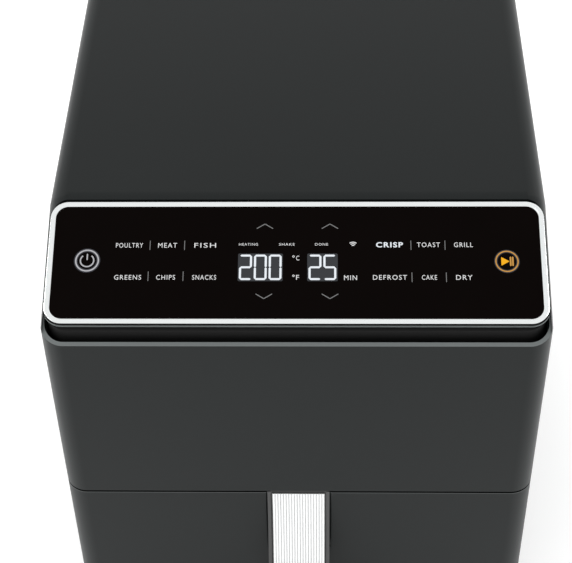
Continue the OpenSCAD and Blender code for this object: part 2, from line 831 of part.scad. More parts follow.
module handle_trim() {
    pitch = trim_w / rib_count;
    color([0.85, 0.86, 0.87]) about_handle() rotate([0, 0, 90 - handle_a1])
        rotate_extrude(angle = handle_a1 - handle_a0 - 0.6, $fn = 180) difference() {
            translate([handle_r, -trim_w / 2]) square([trim_t, trim_w]);
            for (i = [0 : rib_count])
                translate([handle_r - 0.2, -trim_w / 2 + i * pitch]) rotate([0, 0, 45])
                    translate([-rib_h / 2, -rib_h / 2]) square([rib_h, rib_h]);
        }
}

module handle_screws() {
    color([0.70, 0.71, 0.72]) for (z = [96, 116])
        translate([0, front_y + 6, z]) rotate([-90, 0, 0]) screw(18, r = 2, head_r = 4);
}

// ---- Crisper plate ----

module crisper_plate() {
    w = basket_w - 2 * basket_t - 5;
    y0 = basket_y0 + basket_t + 2.5;
    y1 = basket_y1 - basket_t - 2.5;
    color([0.12, 0.12, 0.13]) difference() {
        union() {
            translate([0, 0, plate_z]) linear_extrude(plate_t) plan(w, y0, y1, 20, 20);
            translate([0, 0, plate_z]) linear_extrude(5) difference() {
                plan(w, y0, y1, 20, 20);
                plan(w - 2 * plate_t, y0 + plate_t, y1 - plate_t, 20 - plate_t, 20 - plate_t);
            }
        }
        for (i = [-4 : 4], j = [-4 : 4])
            translate([i * 23, (y0 + y1) / 2 + j * 24, plate_z - 1]) cylinder(h = 5, r = 4.5);
    }
}

module plate_bumpers() {
    y = (basket_y0 + basket_y1) / 2;
    color([0.08, 0.08, 0.08]) for (sx = [-1, 1], sy = [-1, 1])
        translate([sx * 80 - 5, y + sy * 100 - 5, basket_z0 + basket_t])
            cube([10, 10, bumper_h]);
}

outer_shell();
rear_cover();
base_pan();
foot(-half_w + foot_in, front_y + foot_in);  // foot_front_left
foot(half_w - foot_in, front_y + foot_in);  // foot_front_right
foot(-half_w + foot_in, back_y - foot_in);  // foot_back_left
foot(half_w - foot_in, back_y - foot_in);  // foot_back_right
panel_housing();
panel_frame();
panel_glass();
display_module();
control_board();
touch_springs();
chamber_liner();
fan_dome();
heat_shield();
insulation(-1);  // insulation_left
insulation(1);  // insulation_right
guide_rail(-1);  // guide_rail_left
guide_rail(1);  // guide_rail_right
catch_spring(-1);  // catch_spring_left
catch_spring(1);  // catch_spring_right
upper_heater();
lower_heater();
heater_clips();
heater_guard();
motor_bracket();
top_bracket();
stator_core();
stator_coil();
bush(200, 202);  // lower_bush
bush(238, 238);  // upper_bush
power_board();
board_components();
ribbon_cable();
temperature_sensor();
thermal_cutout();
exhaust_duct();
cord_gland();
basket_switch();
rear_screws();
base_screws();
motor_shaft();
rotor_core();
hot_air_fan();
fan_nut();
cooling_fan();
basket();
basket_bracket();
drawer_front();
drawer_back_plate();
front_seal();
handle_bar();
handle_trim();
handle_screws();
crisper_plate();
plate_bumpers();
switch_plunger();
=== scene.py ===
# %% [markdown]
# # A basket air fryer with a sloped touch panel
# The CAD model already holds every solid part of the machine at its real size: the housing, the
# drawer, the chamber and all that turns or slides. Here it is dressed for a picture. CAD parts
# whose shape is right keep it and get a finish made of nodes. Parts that a plain solid can't
# show, such as the softened hood, the ribbed handle plate and the lit panel, are modelled again
# with Blender's own tools at the place that the CAD gives, and ride on the same bodies.

# %% Load the CAD frame
import math

import bmesh
import bpy
from mathutils import Matrix, Vector


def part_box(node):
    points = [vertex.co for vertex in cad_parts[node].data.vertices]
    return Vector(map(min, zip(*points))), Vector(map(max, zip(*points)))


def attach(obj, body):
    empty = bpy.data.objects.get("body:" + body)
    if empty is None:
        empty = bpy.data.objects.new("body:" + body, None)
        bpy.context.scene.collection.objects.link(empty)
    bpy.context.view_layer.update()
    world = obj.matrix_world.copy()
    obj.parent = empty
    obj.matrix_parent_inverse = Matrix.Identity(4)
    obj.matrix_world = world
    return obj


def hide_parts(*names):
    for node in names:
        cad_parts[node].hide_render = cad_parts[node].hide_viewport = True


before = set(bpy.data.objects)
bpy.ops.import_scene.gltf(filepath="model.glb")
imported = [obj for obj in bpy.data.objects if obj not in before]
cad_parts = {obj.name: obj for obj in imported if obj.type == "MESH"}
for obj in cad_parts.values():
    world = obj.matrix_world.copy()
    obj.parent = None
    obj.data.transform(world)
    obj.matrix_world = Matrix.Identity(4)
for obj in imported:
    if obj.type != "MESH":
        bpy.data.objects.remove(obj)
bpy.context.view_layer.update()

# %% [markdown]
# ## Units and the main sizes
# Blender works in metres and the drawing in millimetres, so one factor turns one into the
# other. The frame's boxes give the places that matter: the front face, the top of the deck and
# the parting line between hood and drawer. The control panel lies on a slope, so it gets a
# matrix of its own, made from the box of its metal frame: the lower front edge is the origin,
# Y runs up the slope and Z points out of the glass.

# %% Sizes
MM = 0.001
shell_low, shell_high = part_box("outer_shell")
bezel_low, bezel_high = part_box("panel_frame")
FRONT = shell_low[1]
DECK = shell_high[2]
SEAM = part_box("drawer_front")[1][2]
PANEL_TILT = math.radians(21.2)
PANEL_WIDTH = bezel_high[0] - bezel_low[0]
BEZEL_THICK = 1 * MM
PANEL_REACH = bezel_high[1] - bezel_low[1] - BEZEL_THICK * math.sin(PANEL_TILT)
PANEL_LENGTH = PANEL_REACH / math.cos(PANEL_TILT)
PANEL = Matrix.Translation((0, bezel_low[1], bezel_high[2] - PANEL_LENGTH * math.sin(PANEL_TILT)))
PANEL = PANEL @ Matrix.Rotation(PANEL_TILT, 4, "X")
print(f"panel {PANEL_WIDTH / MM:.1f} by {PANEL_LENGTH / MM:.1f} mm at",
      [round(v / MM, 1) for v in PANEL.translation])

# %% [markdown]
# ## Camera
# The camera looks down at the front from above, about 45 degrees, turned two degrees to the left
# and tipped a little over one degree. A Track To constraint could aim it, but can't hold the
# small tip. So it gets a matrix whose columns are its right, its up and its backward direction,
# which also leaves no doubt about the order of turns. A long lens, 99 mm on a 36 mm sensor,
# keeps the box's sides from spreading. The camera's place is given from the front face and the
# deck, so that it follows the machine if its size changes.

# %% Camera
pitch, yaw, roll = (math.radians(v) for v in (44.84, -2.01, -1.40))
ahead = Vector((math.sin(yaw) * math.cos(pitch), math.cos(yaw) * math.cos(pitch),
                -math.sin(pitch)))
level = Vector((math.cos(yaw), -math.sin(yaw), 0))
above = level.cross(ahead)
right = math.cos(roll) * level + math.sin(roll) * above
up = math.cos(roll) * above - math.sin(roll) * level

OFF_CENTRE = 16.9 * MM
BEFORE_FRONT = 612.3 * MM
OVER_DECK = 620.2 * MM
bpy.ops.object.camera_add(location=(OFF_CENTRE, FRONT - BEFORE_FRONT, DECK + OVER_DECK))
camera = bpy.context.object
camera.name = "camera"
camera.rotation_euler = Matrix((right, up, -ahead)).transposed().to_euler()
camera.data.sensor_width = 36
camera.data.lens = 99.05
camera.data.clip_start = 0.05
bpy.context.scene.camera = camera
print("camera", [round(v, 3) for v in camera.location])

# %% [markdown]
# ## Floor and light
# A pale floor and a white surround give the even light of a catalogue picture. The floor glows
# a little, so that it stays as pale as the surround. One large soft lamp high on the left adds
# direction. Two low ones, one at each side, put a line of light along the rounded front corners.
# A picture of a real studio could light it too, but area lamps need no file and can be aimed.

# %% Floor, surround and lamps
bpy.ops.object.select_all(action="DESELECT")
bpy.ops.mesh.primitive_plane_add(size=12, location=(0, 0, -0.0002))
floor = bpy.context.object
floor.name = "floor"
pale = bpy.data.materials.new("pale_floor")
pale.use_nodes = True
pale_shader = pale.node_tree.nodes["Principled BSDF"]
pale_shader.inputs["Base Color"].default_value = (0.93, 0.93, 0.93, 1)
pale_shader.inputs["Roughness"].default_value = 0.9
pale_shader.inputs["Emission Color"].default_value = (1, 1, 1, 1)
pale_shader.inputs["Emission Strength"].default_value = 0.2
floor.data.materials.append(pale)

world = bpy.data.worlds.new("studio")
bpy.context.scene.world = world
world.use_nodes = True
surround = world.node_tree.nodes["Background"]
surround.inputs["Color"].default_value = (1, 1, 1, 1)
surround.inputs["Strength"].default_value = 1.0
bpy.context.scene.view_settings.view_transform = "Standard"


def soft_lamp(name, place, size, watts, target=(0, 0, 0.2)):
    """A square area lamp at place, turned to face the target."""
    bpy.ops.object.light_add(type="AREA", location=place)
    lamp = bpy.context.object
    lamp.name = name
    lamp.data.size = size
    lamp.data.energy = watts
    lamp.rotation_euler = (Vector(target) - Vector(place)).to_track_quat("-Z", "Y").to_euler()


soft_lamp("lamp_left", (-1.5, -1.0, 1.3), 1.0, 9)
soft_lamp("lamp_low_left", (-1.3, 0.0, 0.25), 0.7, 12, (0, -0.1, 0.2))
soft_lamp("lamp_low_right", (1.3, 0.0, 0.25), 0.7, 12, (0, -0.1, 0.2))

# %% [markdown]
# ## Shader maths as Python
# A finish is a small network of nodes. Written out node by node it hides its own idea, so one
# class wraps a socket and gives it the ordinary operators that the finishes use. An expression
# such as noise * 0.1 + 0.3 then adds its Math nodes by itself, and add() makes any other node
# from its type, its settings and its inputs.

# %% The finish helper
class Sock:
    """A node's output socket that can be used in Python arithmetic."""

    def __init__(self, finish, value):
        self.finish = finish
        self.value = value

    def math(self, operation, *others):
        inputs = {i: v for i, v in enumerate((self, *others))}
        return self.finish.add("ShaderNodeMath", {"operation": operation}, inputs)

    def __add__(self, other):
        return self.math("ADD", other)

    def __mul__(self, other):
        return self.math("MULTIPLY", other)

    __radd__ = __add__
    __rmul__ = __mul__

    def clamp(self):
        return self.finish.add("ShaderNodeClamp", {}, {0: self})


finishes = {}


class Finish:
    """A material under construction: add() makes nodes, set() fills the main shader."""

    def __init__(self, name):
        self.material = bpy.data.materials.new("finish_" + name)
        finishes[name] = self.material
        self.material.use_nodes = True
        self.tree = self.material.node_tree
        self.shader = self.tree.nodes["Principled BSDF"]

    def add(self, kind, settings=None, inputs=None, output=0):
        node = self.tree.nodes.new(kind)
        for key, value in (settings or {}).items():
            if key == "stops":
                for stop, (place, color) in zip(self.ramp_stops(node, len(value)), value):
                    stop.position = place
                    stop.color = color
            else:
                setattr(node, key, value)
        for key, value in (inputs or {}).items():
            self.plug(node.inputs[key], value)
        return Sock(self, node.outputs[output])

    def ramp_stops(self, node, number):
        while len(node.color_ramp.elements) < number:
            node.color_ramp.elements.new(0.5)
        return node.color_ramp.elements

    def plug(self, socket, value):
        if isinstance(value, Sock):
            self.tree.links.new(value.value, socket)
        else:
            socket.default_value = value

    def set(self, **values):
        for key, value in values.items():
            self.plug(self.shader.inputs[key.replace("_", " ")], value)
        return self

    def place(self):
        return self.add("ShaderNodeTexCoord", output="Object")

    def noise(self, scale, detail=2.0, rough=0.5, place=None):
        return self.add("ShaderNodeTexNoise", {}, {
            "Vector": place or self.place(), "Scale": scale, "Detail": detail,
            "Roughness": rough})

    def stretched(self, x, y, z):
        """Object coordinates scaled along each axis, for brushed or streaky patterns."""
        return self.add("ShaderNodeMapping", {}, {"Vector": self.place(), "Scale": (x, y, z)})

    def mix(self, factor, a, b):
        return self.add("ShaderNodeMix", {"data_type": "RGBA"}, {0: factor, 6: a, 7: b}, output=2)

    def bump(self, height, strength=0.2, distance=0.0002):
        return self.set(Normal=self.add("ShaderNodeBump", {}, {
            "Height": height, "Strength": strength, "Distance": distance}))


def grey(value, warm=0.0):
    """A grey as RGBA, made a little warmer or, with a negative number, a colder green-grey."""
    return (value * (1 + warm), value, value * (1 - max(warm, 0)), 1)


print("finish helper ready")

# %% [markdown]
# ## The finishes
# The housing is moulded in a dark plastic with a fine spark texture. A small noise raises a
# bump of a few hundredths of a millimetre, and a broad slow one shifts its gloss and its grey a
# little, as on any real moulding. The satin metal of the trim has long fine scratches, made
# with a noise that is stretched along one axis. Pictures of such surfaces would need files and
# unwrapped meshes, while noise on Object coordinates needs neither and stays at its real scale.
# Each kind of surface is one function, and each finish is one call of it with its own shade,
# roughness and tint. All of them go into the finishes table by name, and those that a later
# cell puts on a piece of its own are kept in a variable too.

# %% Plastics, metals and rubber
def moulded(name, shade, rough=0.42, grain=0.12, gloss=0.3, warm=0.0):
    """Satin moulded plastic with a spark texture and slow changes in gloss."""
    finish = Finish(name)
    cloud = finish.noise(9, 3)
    spark = finish.noise(1800, 2)
    finish.set(
        Base_Color=finish.mix(cloud, grey(shade * 0.88, warm), grey(shade * 1.12, warm)),
        Roughness=(cloud * 0.10 + (rough - 0.05)).clamp(), Specular_IOR_Level=gloss)
    return finish.bump(spark, grain, 0.00005).material


def brushed(name, shade, scale, rough, warm):
    """Satin metal with fine scratches along one axis."""
    finish = Finish(name)
    scratch = finish.noise(120, 4, place=finish.stretched(*scale))
    finish.set(
        Base_Color=finish.mix(scratch, grey(shade * 0.92, warm), grey(shade * 1.05, warm)),
        Metallic=1.0, Roughness=(scratch * 0.14 + (rough - 0.07)).clamp())
    return finish.bump(scratch, 0.08, 0.00004).material


def sheet_metal(name, shade, rough=0.4, warm=0.0):
    """Plain or coated sheet: a mottled grey with soft stains."""
    finish = Finish(name)
    stain = finish.noise(38, 5, 0.65)
    finish.set(
        Base_Color=finish.mix(stain, grey(shade * 0.85, warm), grey(shade * 1.1, warm)),
        Metallic=0.9, Roughness=(stain * 0.2 + (rough - 0.1)).clamp())
    return finish.bump(finish.noise(400, 2), 0.08, 0.00005).material


def coloured(name, dark, light, scale=60, rough=0.6, bump=0.2):
    """A dull surface that wanders between two colours."""
    finish = Finish(name)
    patch = finish.noise(scale, 4)
    finish.set(
        Base_Color=finish.mix(patch, (*dark, 1), (*light, 1)),
        Roughness=(patch * 0.15 + (rough - 0.07)).clamp())
    return finish.bump(finish.noise(scale * 12, 2), bump, 0.0001).material


hood_plastic = moulded("hood_plastic", 0.010, 0.38, gloss=0.16, warm=-0.2)
# A lighter grey that paints the highlight on the rim of the panel's seat and on the carrier's
# flange front.
edge_plastic = moulded("edge_plastic", 0.14, 0.45, gloss=0.5, warm=-0.1)
# A mid grey that paints the highlight along the drawer front's top edge at the parting line.
seam_plastic = moulded("seam_plastic", 0.05, 0.45, gloss=0.4, warm=-0.1)
# A near-black that paints the shade in the gap of the parting line.
gap_plastic = moulded("gap_plastic", 0.001, 0.9, gloss=0.0)
band_plastic = moulded("band_plastic", 0.006, 0.5, gloss=0.15)
base_plastic = moulded("base_plastic", 0.02, 0.55)
moulded("fitting_plastic", 0.03, 0.5)
handle_plastic = moulded("handle_plastic", 0.06, 0.42)
moulded("foot_rubber", 0.012, 0.8, grain=0.4)
moulded("seal_silicone", 0.02, 0.6, grain=0.2)
trim_metal = brushed("trim_metal", 0.86, (1, 40, 40), 0.24, -0.03)
rib_metal = brushed("rib_metal", 0.84, (60, 1, 1), 0.3, -0.01)
# A darker copy of the rib metal that paints the shade in the grooves between the ribs.
groove_metal = brushed("groove_metal", 0.50, (60, 1, 1), 0.4, -0.01)
sheet_metal("plain_steel", 0.55, 0.35)
sheet_metal("liner_steel", 0.42, 0.45, 0.02)
sheet_metal("heater_steel", 0.10, 0.5, 0.08)
sheet_metal("screw_steel", 0.12, 0.35)
sheet_metal("core_steel", 0.22, 0.5)
sheet_metal("fan_metal", 0.62, 0.3)
coloured("bronze", (0.38, 0.22, 0.07), (0.52, 0.33, 0.12), 90, 0.45)
coloured("copper", (0.36, 0.10, 0.03), (0.52, 0.17, 0.06), 300, 0.4)
coloured("board_green", (0.01, 0.07, 0.03), (0.015, 0.11, 0.05), 120, 0.45)
coloured("wool", (0.62, 0.60, 0.54), (0.80, 0.78, 0.72), 220, 0.95, 0.8)
coloured("ceramic", (0.50, 0.48, 0.42), (0.62, 0.60, 0.54), 80, 0.5)
coloured("cable_grey", (0.50, 0.50, 0.52), (0.62, 0.62, 0.64), 60, 0.5)
coloured("light_box", (0.68, 0.68, 0.64), (0.78, 0.78, 0.74), 40, 0.6)
coloured("switch_red", (0.30, 0.03, 0.02), (0.42, 0.05, 0.03), 60, 0.45)
print("finishes:", len(finishes))

# %% [markdown]
# ## Non-stick coating, glass and print
# The basket and its plate wear a dark coating with a faint metallic fleck. The fleck is the top
# of a very fine noise, cut out with a ramp, and only it is light. The glass of the panel is
# nearly black and shows no reflection of the pale room, so its specular level is zero. The print
# behind it is lit from behind. Small lamps could do that, but a dark surface that gives off its
# own colour looks the same and renders without noise.

# %% Non-stick coating, panel glass and print
coating = Finish("nonstick_coating")
fleck = coating.add("ShaderNodeValToRGB", {"stops": [(0.62, (0, 0, 0, 1)), (0.70, (1, 1, 1, 1))]},
                    {0: coating.noise(1500, 1)})
coating.set(Base_Color=coating.mix(fleck, grey(0.022), grey(0.10)), Roughness=0.34,
            Coat_Weight=0.3, Coat_Roughness=0.2)
nonstick = coating.bump(coating.noise(500, 3), 0.12, 0.00006).material

glass = Finish("panel_glass")
haze = glass.noise(14, 4)
glass.set(Base_Color=glass.mix(haze, (0.0030, 0.0022, 0.0020, 1), (0.0042, 0.0030, 0.0028, 1)),
          Roughness=(haze * 0.05 + 0.08).clamp(), Specular_IOR_Level=0.0)


def lit(name, color, strength):
    """Print that is lit from behind, with a slightly uneven glow."""
    finish = Finish(name)
    glow = finish.noise(300, 1)
    dim = tuple(c * 0.85 for c in color)
    finish.set(Base_Color=(0.01, 0.01, 0.01, 1), Roughness=0.5, Specular_IOR_Level=0.1,
               Emission_Color=finish.mix(glow, (*dim, 1), (*color, 1)),
               Emission_Strength=strength)
    return finish.material


print_white = lit("print_white", (0.85, 0.85, 0.85), 1.0)
print_dim = lit("print_dim", (0.032, 0.035, 0.040), 1.0)
print_faint = lit("print_faint", (0.22, 0.22, 0.22), 1.0)
digit_white = lit("digit_white", (0.9, 0.95, 1.0), 1.0)
icon_grey = lit("icon_grey", (0.50, 0.50, 0.52), 1.0)
halo_grey = lit("halo_grey", (0.035, 0.035, 0.045), 1.0)
start_orange = lit("start_orange", (0.62, 0.31, 0.06), 1.0)
start_amber = lit("start_amber", (1.0, 0.46, 0.0), 1.0)
print("glass, coating and print ready")

# %% [markdown]
# ## Which CAD part wears what
# Most parts keep their CAD shape. One table says which finish each of them gets, and a loop
# hands them out, so no part can be forgotten without being seen in the printed list.

# %% Dress the CAD parts
wardrobe = {
    "hood_plastic": "outer_shell rear_cover drawer_front",
    "band_plastic": "panel_housing",
    "base_plastic": "base_pan drawer_back_plate",
    "fitting_plastic": "board_components cooling_fan basket_switch",
    "handle_plastic": "handle_bar",
    "foot_rubber": "foot_front_left foot_front_right foot_back_left foot_back_right cord_gland",
    "seal_silicone": "front_seal plate_bumpers",
    "trim_metal": "panel_frame",
    "rib_metal": "handle_trim",
    "plain_steel": "touch_springs guide_rail_left guide_rail_right catch_spring_left "
                   "catch_spring_right heater_clips heater_guard motor_bracket top_bracket "
                   "temperature_sensor motor_shaft fan_nut basket_bracket",
    "liner_steel": "chamber_liner fan_dome heat_shield exhaust_duct",
    "heater_steel": "upper_heater lower_heater",
    "screw_steel": "rear_screws base_screws handle_screws",
    "core_steel": "stator_core rotor_core",
    "fan_metal": "hot_air_fan",
    "bronze": "lower_bush upper_bush",
    "copper": "stator_coil",
    "board_green": "control_board power_board",
    "wool": "insulation_left insulation_right",
    "ceramic": "thermal_cutout",
    "cable_grey": "ribbon_cable",
    "light_box": "display_module",
    "switch_red": "switch_plunger",
    "nonstick_coating": "basket crisper_plate",
    "panel_glass": "panel_glass",
}
dressed = set()
for finish_name, nodes in wardrobe.items():
    for node in nodes.split():
        for material_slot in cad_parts[node].material_slots:
            material_slot.material = finishes[finish_name]
        dressed.add(node)
print("dressed:", len(dressed), "left over:", sorted(set(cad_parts) - dressed))

# %% [markdown]
# ## Helpers for modelling by hand
# The next pieces are made as one would at the screen: add a primitive, go into edit mode, pick
# faces or edges, and press a tool. An operator works on everything that is selected, so each
# piece starts from an empty selection, and picking is done with a small test on each element's
# centre or direction. done() puts a finished piece on its body and says which CAD part it
# stands for.

# %% Picking, shaping and handing over
def deselect():
    if bpy.context.object and bpy.context.object.mode == "EDIT":
        bpy.ops.object.mode_set(mode="OBJECT")
    bpy.ops.object.select_all(action="DESELECT")


def only(obj):
    deselect()
    obj.select_set(True)
    bpy.context.view_layer.objects.active = obj


def pick(kind, test):
    """In edit mode, selects the faces, edges or verts for which test(element) holds."""
    mesh = bmesh.from_edit_mesh(bpy.context.object.data)
    bpy.ops.mesh.select_mode(type={"faces": "FACE", "edges": "EDGE", "verts": "VERT"}[kind])
    bpy.ops.mesh.select_all(action="DESELECT")
    chosen = [e for e in getattr(mesh, kind) if test(e)]
    for element in chosen:
        element.select_set(True)
    mesh.select_flush_mode()
    bmesh.update_edit_mesh(bpy.context.object.data)
    return len(chosen)


def middle(edge):
    return (edge.verts[0].co + edge.verts[1].co) / 2


def apply_modifier(obj, kind, **settings):
    only(obj)
    modifier = obj.modifiers.new(kind.lower(), kind)
    for key, value in settings.items():
        setattr(modifier, key, value)
    bpy.ops.object.modifier_apply(modifier=modifier.name)


def put(obj, matrix):
    """Moves a mesh to its place and leaves the object at the origin, unturned."""
    only(obj)
    obj.matrix_world = matrix @ obj.matrix_world
    bpy.ops.object.transform_apply(location=True, rotation=True, scale=True)
    return obj


def clear(obj, name, material):
    """Names a piece and gives it one finish in place of any that it has."""
    obj.name = name
    obj.data.materials.clear()
    obj.data.materials.append(material)
    return obj


def done(obj, body, material_slot, *nodes):
    """Hands a finished piece over: its body and the CAD parts it stands for."""
    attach(obj, body)
    if nodes:
        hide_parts(*nodes)
    print(f"{obj.name}: {len(obj.data.polygons)} faces on {body}")


# %% [markdown]
# ## The hood
# The real hood is one moulding. Its deck rolls down into the sloped front in a soft bend, and
# its cut edges are eased. It could be modelled anew from a box, but its outline might then drift
# from the CAD's. The CAD has the right faces with knife edges, so a copy of it is welded, its
# flat areas are joined into single faces, the bend gets a wide bevel and all other sharp edges a
# fine one. The rim of the panel's seat shows as a lighter grey line, a highlight. Its faces are
# found by their direction and depth in the panel's own frame and wear a second, lighter finish,
# which paints this highlight. Weighted normals then keep the large flat faces free of shading
# from the small bevels.

# %% Soft edges for CAD shapes
def softened(node, name, width, segments=2):
    """A welded copy of a CAD part, its edges eased over a width in millimetres."""
    deselect()
    obj = bpy.data.objects.new(name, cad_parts[node].data.copy())
    bpy.context.collection.objects.link(obj)
    only(obj)
    bpy.ops.object.mode_set(mode="EDIT")
    bpy.ops.mesh.select_all(action="SELECT")
    bpy.ops.mesh.remove_doubles(threshold=0.00001)
    bpy.ops.mesh.dissolve_limited(angle_limit=math.radians(0.4))
    bpy.ops.object.mode_set(mode="OBJECT")
    apply_modifier(obj, "BEVEL", width=width * MM, segments=segments, limit_method="ANGLE",
                   angle_limit=math.radians(35), use_clamp_overlap=True)
    bpy.ops.object.shade_smooth_by_angle(angle=math.radians(30))
    return obj


def in_panel(point):
    """A point of the machine in the panel's own frame."""
    return PANEL.inverted() @ point


# %% The hood
BEND_FROM, BEND_TO = 75 * MM, 95 * MM
RIM_LOW, RIM_HIGH = -9.7 * MM, -7.7 * MM
RIM_REACH = 72 * MM
hood = softened("outer_shell", "hood", width=0.6)
clear(hood, "hood", hood_plastic)
# The second finish paints the highlight along the rim of the panel's seat.
hood.data.materials.append(edge_plastic)
only(hood)
bpy.ops.object.mode_set(mode="EDIT")
bends = pick("edges", lambda e: abs(middle(e).z - DECK) < 0.3 * MM
             and abs(e.verts[0].co.y - e.verts[1].co.y) < 0.1 * MM
             and BEND_FROM < middle(e).y - FRONT < BEND_TO and e.calc_length() > 100 * MM)
bpy.ops.mesh.bevel(offset=3.6 * MM, segments=6)
rim_faces = pick("faces", lambda f: (f.normal - PANEL.to_3x3().col[2]).length < 0.35
                 and RIM_LOW < in_panel(f.calc_center_median()).z < RIM_HIGH
                 and in_panel(f.calc_center_median()).y < RIM_REACH)
bpy.context.object.active_material_index = 1
bpy.ops.object.material_slot_assign()
bpy.ops.object.mode_set(mode="OBJECT")
bpy.ops.object.shade_smooth_by_angle(angle=math.radians(30))
apply_modifier(hood, "WEIGHTED_NORMAL", keep_sharp=True)
print("bend edges:", bends, "rim faces:", rim_faces)
done(hood, "body", "shell_black", "outer_shell")

# %% [markdown]
# ## Other mouldings with eased edges
# The drawer front, the panel's carrier, the handle, the base, the back cover, the basket and its
# plate are treated the same way, in one loop. The drawer front's eased top edge makes the
# parting line: its upper, flatter faces lie in the dark of the gap and wear a near-black finish
# as painted shade, and its lower, steeper ones catch a thin line of light, painted as a highlight
# in a lighter grey. The front of the carrier's flange wears a painted highlight too.

# %% Which faces of the eased edges get painted highlight or painted shade
FLANGE_LOW, FLANGE_HIGH = -3.1 * MM, -1.0 * MM
FLANGE_REACH = 60 * MM
EASED_HEIGHT = 1.4 * MM
CORNER_REACH = 24 * MM


def flange_front(face):
    """The front of the panel carrier's flange, which catches the light; its lighter finish is a
    painted highlight.
    """
    spot = in_panel(face.calc_center_median())
    return (FLANGE_LOW < spot.z < FLANGE_HIGH and spot.y < FLANGE_REACH
            and abs((PANEL.to_3x3().inverted() @ face.normal).z) < 0.8)


def drawer_rim(low, high):
    """A test for the drawer front's eased top edge, between two steepnesses."""
    return lambda face: (abs(face.calc_center_median().z - SEAM) < EASED_HEIGHT
                         and face.calc_center_median().y < FRONT + CORNER_REACH
                         and low < face.normal.z <= high)


# Painted highlight and painted shade for the carrier's flange and the drawer front's top edge.
painted_light_finishes = {"panel_housing": [(edge_plastic, flange_front)],
                 "drawer_front": [(seam_plastic, drawer_rim(0.1, 0.45)),
                                  (gap_plastic, drawer_rim(0.45, 0.9))]}
print("parts with a second finish:", ", ".join(painted_light_finishes))

# %% Drawer front, panel carrier, handle, base, back, basket and plate
for node, name, material, body, material_slot, width in [
        ("drawer_front", "drawer_face", hood_plastic, "drawer", "shell_black", 1.2),
        ("panel_housing", "panel_carrier", band_plastic, "body", "panel_black", 0.25),
        ("handle_bar", "handle_grip", handle_plastic, "drawer", "panel_black", 0.5),
        ("base_pan", "base", base_plastic, "body", "base_black", 0.5),
        ("rear_cover", "back_cover", hood_plastic, "body", "shell_black", 0.4),
        ("basket", "basket_pan", nonstick, "drawer", "nonstick", 0.5),
        ("crisper_plate", "crisper", nonstick, "plate", "nonstick", 0.5)]:
    moulding = clear(softened(node, name, width, segments=4), name, material)
    for index, (painted_material, test) in enumerate(painted_light_finishes.get(node, []), start=1):
        moulding.data.materials.append(painted_material)
        only(moulding)
        bpy.ops.object.mode_set(mode="EDIT")
        print(name, "rim faces:", pick("faces", test))
        moulding.active_material_index = index
        bpy.ops.object.material_slot_assign()
        bpy.ops.object.mode_set(mode="OBJECT")
    apply_modifier(moulding, "WEIGHTED_NORMAL", keep_sharp=True)
    done(moulding, body, material_slot, node)

# %% [markdown]
# ## The metal frame
# A satin metal frame edges the glass. Its face has three bands: a fine bevel outside, a flat
# one, and a chamfer that falls to the glass. A curve with a profile could draw it, but insets
# keep each band's width true round the corners. So a plane is rounded at its corners and inset
# once for each band, the middle is deleted, and a Solidify modifier gives the rest its thickness.

# %% The metal frame
BEZEL_CORNER = 10.5 * MM
BEZEL_WALL = 0.6 * MM
BEZEL_DROP = 0.2 * MM
BEZEL_BANDS = [(0.25, 0.2), (1.75, 0), (1.0, -0.5)]  # each band's width and rise, in millimetres
deselect()
bpy.ops.mesh.primitive_plane_add(size=1)
bezel = clear(bpy.context.object, "bezel", trim_metal)
bezel.scale = (PANEL_WIDTH, PANEL_LENGTH, 1)
bpy.ops.object.transform_apply(scale=True)
bpy.ops.object.mode_set(mode="EDIT")
pick("verts", lambda v: True)
bpy.ops.mesh.bevel(offset=BEZEL_CORNER, segments=16, affect="VERTICES")
pick("faces", lambda f: True)
for band_width, rise in BEZEL_BANDS:
    bpy.ops.mesh.inset(thickness=band_width * MM, depth=rise * MM)
bpy.ops.mesh.delete(type="FACE")
bpy.ops.object.mode_set(mode="OBJECT")
apply_modifier(bezel, "SOLIDIFY", thickness=BEZEL_WALL, offset=-1)
bpy.ops.object.shade_smooth_by_angle(angle=math.radians(20))
put(bezel, PANEL @ Matrix.Translation((0, PANEL_LENGTH / 2, -BEZEL_DROP)))
done(bezel, "body", "trim_silver", "panel_frame")

# %% [markdown]
# ## The ribbed handle plate
# Nineteen rounded ribs run down the handle. One rib starts as its small section just below the
# parting line. The section is spun round the axis of the handle's curve, the same axis that the
# CAD uses, and an Array modifier repeats the rib across the plate. A flat strip behind the ribs
# is spun in the same way and fills the grooves with a darker metal, painted shade for the dark
# between the ribs. A bump pattern would be quicker, but only real ribs show their round ends and
# catch the light from every side.

# %% The ribbed plate
trim_low, trim_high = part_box("handle_trim")
RIBS = 19
RIB_SHARE = 0.84
HANDLE_R = 190 * MM
# Angles down the handle's curve: at the parting line, at the ribs' start and at their end
SEAM_ANGLE, TOP_ANGLE, LOW_ANGLE = (math.radians(v) for v in (6, 6.6, 41.75))
CURVE = Vector((0, FRONT - HANDLE_R * math.cos(SEAM_ANGLE), SEAM + HANDLE_R * math.sin(SEAM_ANGLE)))
plate_width = trim_high[0] - trim_low[0] - 1.8 * MM
pitch_x = plate_width / RIBS


def on_curve(angle, depth):
    """A point of the handle's curve, depth metres into the handle."""
    reach = HANDLE_R + depth
    return CURVE + Vector((0, reach * math.cos(angle), -reach * math.sin(angle)))


